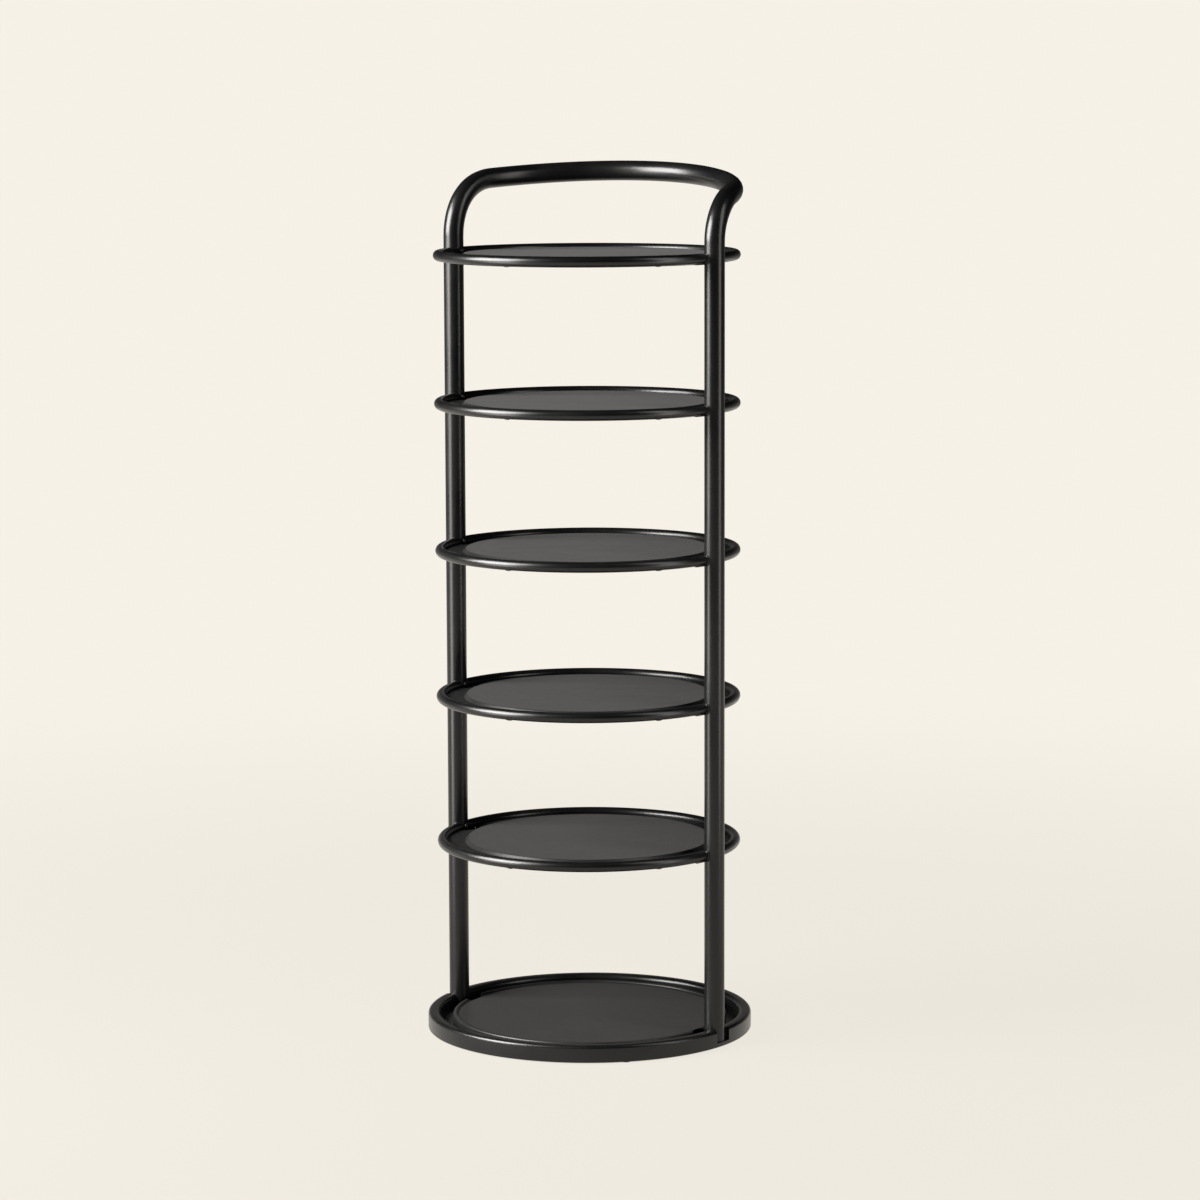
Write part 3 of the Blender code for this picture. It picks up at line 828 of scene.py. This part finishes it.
def fit_screws(steel):
    """The screws that hold each hoop to the uprights, put in from inside the hoop."""
    pattern = headed("screw_pattern", SCREW_RADIUS, SCREW_END - SCREW_SEAT, SCREW_HEAD_RADIUS,
                     SCREW_HEAD_HEIGHT, SCREW_CROWN, SCREW_SOCKET, SCREW_SOCKET_DEPTH)
    for side in SIDES:
        aim = Matrix.Rotation(ANGLES[side], 4, "Z") @ Matrix.Rotation(math.pi / 2, 4, "Y")
        for number, level in enumerate(LEVELS, 1):
            place = Matrix.Translation(polar(SCREW_SEAT, ANGLES[side], level)) @ aim
            screw = copied(pattern, f"button_screw_{side}_{number}", place)
            finish_piece(screw, steel, "fastener", f"hoop_screw_{side}_{number}")
    drop(pattern)


def fit_feet(steel, nylon):
    """The sleeve in the foot of each upright, and the bolt that comes up into it from under the base."""
    low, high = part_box("foot_insert_right")
    insert_radius = (high.y - low.y) / 2
    seat = BOLT_LOW.z + BOLT_HEAD_HEIGHT
    bolt = headed("bolt_pattern", BOLT_RADIUS, BOLT_HIGH.z - seat, (BOLT_HIGH.y - BOLT_LOW.y) / 2,
                  BOLT_HEAD_HEIGHT, BOLT_CROWN, BOLT_SOCKET, BOLT_SOCKET_DEPTH)
    bore = BOLT_RADIUS + SEAT_GAP
    corners = [
        (insert_radius, high.z, SLEEVE_LEAD),
        (insert_radius, low.z, SLEEVE_FILLET),
        (bore, low.z, SLEEVE_FILLET),
        (bore, high.z, SLEEVE_FILLET),
    ]
    sleeve = smooth(turned("sleeve_pattern", rounded(corners, closed=True), SMALL_STEPS, closed=True))
    for side in SIDES:
        base_bolt = copied(bolt, f"base_bolt_{side}", at_upright(side) @ lifted(seat))
        foot_sleeve = copied(sleeve, f"foot_sleeve_{side}", at_upright(side))
        finish_piece(base_bolt, steel, "fastener", f"foot_bolt_{side}")
        finish_piece(foot_sleeve, nylon, "insert", f"foot_insert_{side}")
    drop(bolt)
    drop(sleeve)


def fit_glides(rubber):
    """The thin pads that the rim stands on."""
    for number in range(1, GLIDE_COUNT + 1):
        low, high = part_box(f"glide_{number}")
        radius = (high.x - low.x) / 2
        corners = [
            (0.0, high.z, 0.0),
            (radius, high.z, GLIDE_TOP_EDGE),
            (radius, low.z, GLIDE_EDGE),
            (0.0, low.z, 0.0),
        ]
        glide = turned(f"glide_pad_{number}", rounded(corners), SMALL_STEPS)
        centre = (low + high) / 2
        placed(smooth(glide), Matrix.Translation((centre.x, centre.y, 0.0)))
        finish_piece(glide, rubber, "glide", f"glide_{number}")


# Studio

def lay_floor():
    """A cloth that takes the rack's shadow, under the cream that is seen on it outside the rack's foot."""
    start_fresh()
    bpy.ops.mesh.primitive_circle_add(vertices=FLOOR_SIDES, radius=FLOOR_RADIUS, fill_type="NGON")
    floor = bpy.context.object
    floor.name = "studio_floor"
    cloth = Finish("floor_cream", FLOOR_CLOTH, CLOTH_ROUGHNESS, Specular_IOR_Level=0.0)
    reach = cloth.from_axis()
    rise = cloth.ramp(reach, FLOOR_NEAR, FLOOR_FAR) * (FLOOR_SHARE_FAR - FLOOR_SHARE_NEAR)
    share = (FLOOR_SHARE_NEAR + rise) * cloth.ramp(reach, RIM_HIGH.y - RIM_WIDTH, RIM_HIGH.y)
    glow = cloth.add("ShaderNodeEmission", inputs={"Color": (*CREAM, 1.0)})
    cloth.show_both(share * cloth.seen(), glow)
    floor.data.materials.append(cloth.material)


def raise_tent():
    """A dome round the rack that keeps its blacks deep: dark, with a soft glow low behind the rack."""
    start_fresh()
    bpy.ops.mesh.primitive_uv_sphere_add(segments=TENT_SEGMENTS, ring_count=TENT_RINGS,
                                         radius=TENT_RADIUS)
    tent = bpy.context.object
    tent.name = "studio_tent"
    edit_all(tent)
    bpy.ops.mesh.bisect(plane_co=(0.0, 0.0, TENT_HEM), plane_no=(0.0, 0.0, 1.0), clear_inner=True)
    bpy.ops.object.mode_set(mode="OBJECT")
    cloth = Finish("tent_cloth", TENT_GLOW, CLOTH_ROUGHNESS)
    backward = polar(1.0 / TENT_RADIUS, CAMERA_AZIMUTH + math.pi / 2)
    away = cloth.add("ShaderNodeVectorMath", {"operation": "DOT_PRODUCT"},
                     {0: cloth.place, 1: backward}, "Value")
    height = cloth.add("ShaderNodeSeparateXYZ", inputs={0: cloth.place}, output="Z")
    behind = cloth.ramp(away, 0.0, TENT_BACK_SPAN) * cloth.ramp(height, TENT_RADIUS * TENT_FADE, 0.0)
    strength = TENT_FRONT + behind * (TENT_BACK - TENT_FRONT)
    cloth.show(cloth.add("ShaderNodeEmission", inputs={"Color": (*TENT_GLOW, 1.0), "Strength": strength}))
    tent.data.materials.append(cloth.material)
    tent.visible_camera = False


def light_world():
    """Cream where the world is seen, and a dimmer cream as the light that it sends."""
    world = bpy.data.worlds.new("studio_world")
    bpy.context.scene.world = world
    world.use_nodes = True
    air = Nodes(world.node_tree)
    glow = air.tree.nodes["Background"]
    air.feed(glow.inputs["Color"], (*CREAM, 1.0))
    air.feed(glow.inputs["Strength"], AMBIENT + air.seen() * (1.0 - AMBIENT))


def hang_softbox(name, colour, turn, distance, level, aim, width, height, radiance):
    """A softbox at a turn to the left of the camera's line, aimed at a point on the rack's axis."""
    start_fresh()
    place = polar(distance, CAMERA_AZIMUTH - math.pi / 2 - turn, level)
    bpy.ops.object.light_add(type="AREA", location=place)
    lamp = bpy.context.object
    lamp.name = name
    lamp.rotation_euler = (Vector((0.0, 0.0, aim)) - place).to_track_quat("-Z", "Y").to_euler()
    lamp.data.shape = "RECTANGLE"
    lamp.data.size = width
    lamp.data.size_y = height
    lamp.data.energy = radiance * math.pi * width * height
    lamp.data.color = colour
    lamp.visible_camera = False


def hang_softboxes():
    """A tall key from the left, a small one low beside it, and a narrow fill from the right."""
    hang_softbox("key_softbox", KEY_WHITE, turn=math.radians(75), distance=2.3, level=1.7, aim=1.0,
                 width=1.75, height=1.7, radiance=27.0)
    hang_softbox("low_softbox", KEY_WHITE, turn=math.radians(66), distance=1.1, level=0.46, aim=0.4,
                 width=0.5, height=0.9, radiance=7.0)
    hang_softbox("fill_strip", FILL_WHITE, turn=math.radians(-60), distance=1.0, level=0.9, aim=0.6,
                 width=0.3, height=1.7, radiance=4.2)


def set_camera():
    camera = bpy.data.cameras.new("camera")
    camera.sensor_width = SENSOR
    camera.lens = LENS
    item = bpy.data.objects.new("camera", camera)
    bpy.context.scene.collection.objects.link(item)
    sway = Matrix.Rotation(CAMERA_AZIMUTH, 4, "Z")
    stand = Matrix.Translation((CAMERA_SIDE, -CAMERA_DISTANCE, CAMERA_HEIGHT))
    tilt = Matrix.Rotation(math.pi / 2 - CAMERA_PITCH, 4, "X") @ Matrix.Rotation(CAMERA_ROLL, 4, "Z")
    item.matrix_world = sway @ stand @ tilt
    bpy.context.scene.camera = item
    bpy.context.scene.view_settings.view_transform = "Standard"


def main():
    satin = satin_coat()
    matt = shelf_coat()
    steel = blackened_steel()
    bend_frame(satin)
    bend_hoops(satin)
    lay_welds(satin)
    press_plates(matt)
    tack_plates(satin)
    turn_rim(satin)
    press_base(disc_coat())
    fit_screws(steel)
    fit_feet(steel, black_nylon())
    fit_glides(black_rubber())

    lay_floor()
    raise_tent()
    light_world()
    hang_softboxes()
    set_camera()


main()
